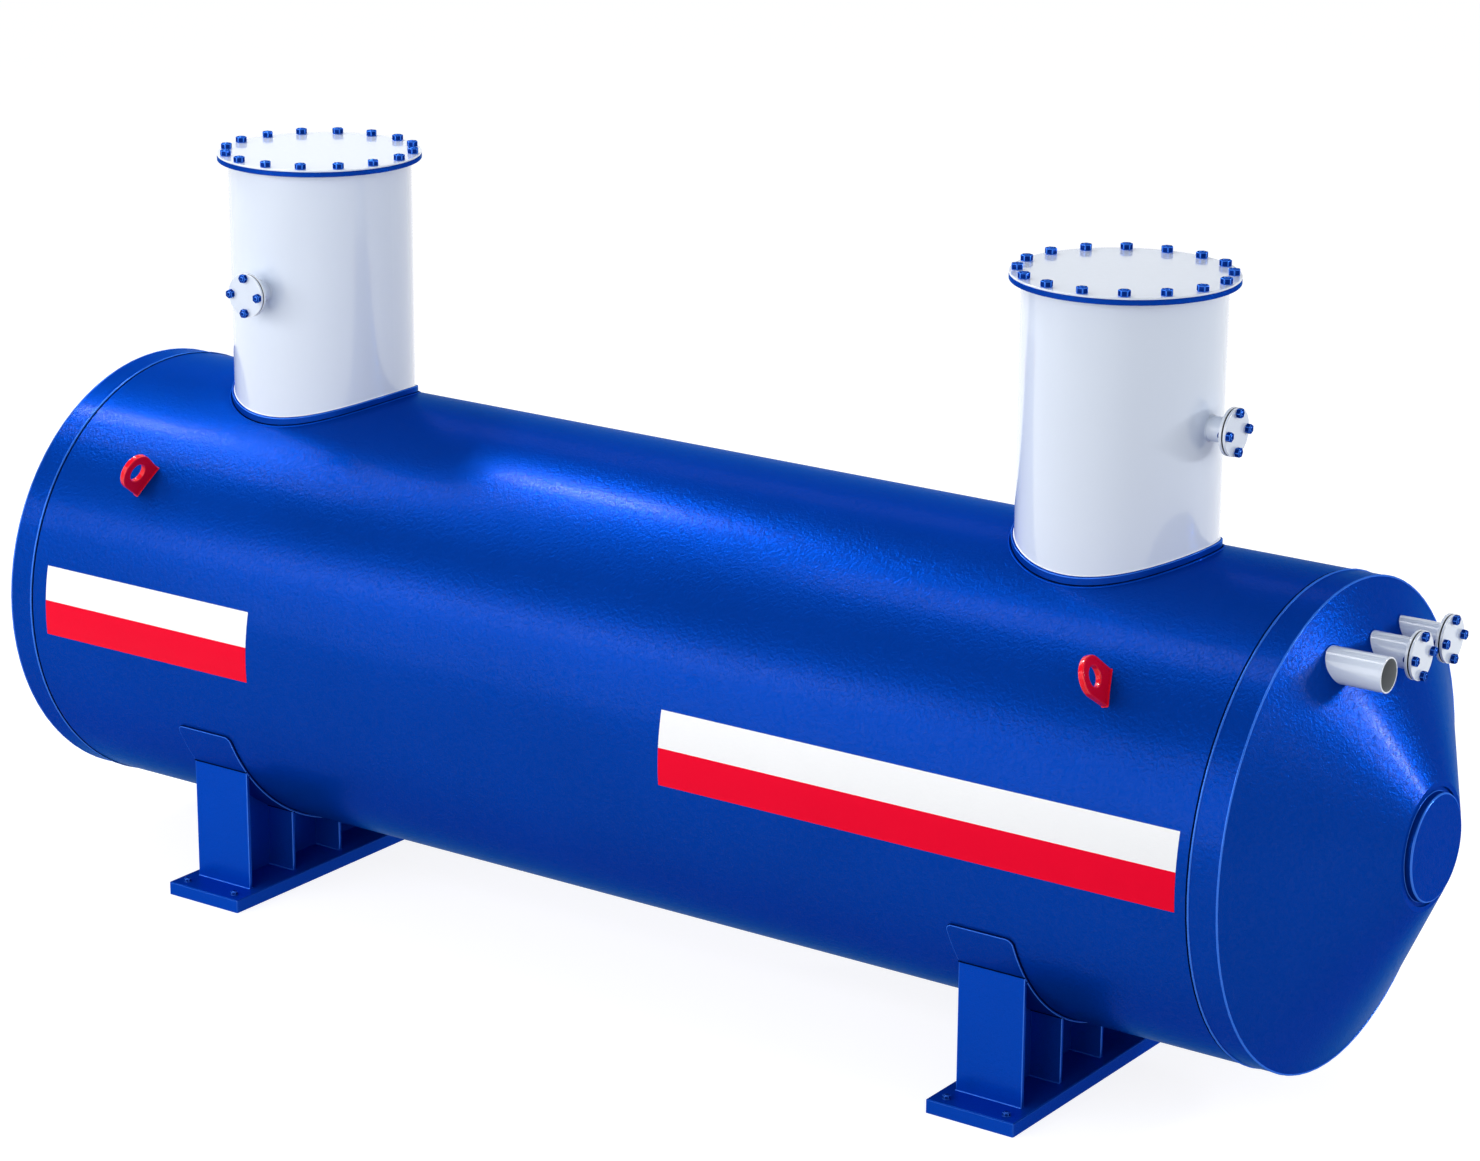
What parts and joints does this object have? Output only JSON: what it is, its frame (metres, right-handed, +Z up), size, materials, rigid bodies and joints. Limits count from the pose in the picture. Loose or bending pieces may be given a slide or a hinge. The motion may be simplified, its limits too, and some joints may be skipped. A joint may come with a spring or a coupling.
{
  "type": "horizontal pressure tank",
  "caption": "Horizontal steel tank with conical ends on saddles, with bolted manway necks, flanged nozzles, an open pipe and lifting lugs.",
  "frame": {"origin": "on the ground, under the middle of the tank", "axes": "+X along the tank towards the end with the nozzles, +Z up, -Y the front"},
  "size_m": [7.09, 2.0098, 3.297],
  "materials": {
    "blue_paint": "semi-gloss",
    "white_paint": "gloss",
    "red_paint": "gloss",
    "gasket": "matte"
  },
  "bodies": {
    "root": {"shell": "blue_paint", "left_end_ring": "blue_paint", "right_end_ring": "blue_paint", "left_seam_weld": "blue_paint", "right_seam_weld": "blue_paint", "left_cone_head": "blue_paint", "right_cone_head": "blue_paint", "left_apex_cap": "blue_paint", "right_apex_cap": "blue_paint", "left_neck": "white_paint", "right_neck": "white_paint", "left_neck_collar": "blue_paint", "right_neck_collar": "blue_paint", "left_neck_flange": "blue_paint", "right_neck_flange": "blue_paint", "left_cover": "white_paint", "right_cover": "white_paint", "left_vent_pipe": "white_paint", "right_vent_pipe": "white_paint", "left_vent_flange": "white_paint", "right_vent_flange": "white_paint", "left_vent_blind": "white_paint", "right_vent_blind": "white_paint", "open_pipe": "white_paint", "middle_pipe": "white_paint", "far_pipe": "white_paint", "middle_flange": "white_paint", "far_flange": "white_paint", "middle_blind": "white_paint", "far_blind": "white_paint", "nozzle_gaskets": "gasket", "front_left_lug": "red_paint", "front_right_lug": "red_paint", "rear_left_lug": "red_paint", "rear_right_lug": "red_paint", "left_base_plate": "blue_paint", "right_base_plate": "blue_paint", "left_wear_plate": "blue_paint", "right_wear_plate": "blue_paint", "left_end_plates": "blue_paint", "right_end_plates": "blue_paint", "left_web": "blue_paint", "right_web": "blue_paint", "left_ribs": "blue_paint", "right_ribs": "blue_paint"}
  },
  "joints": []
}
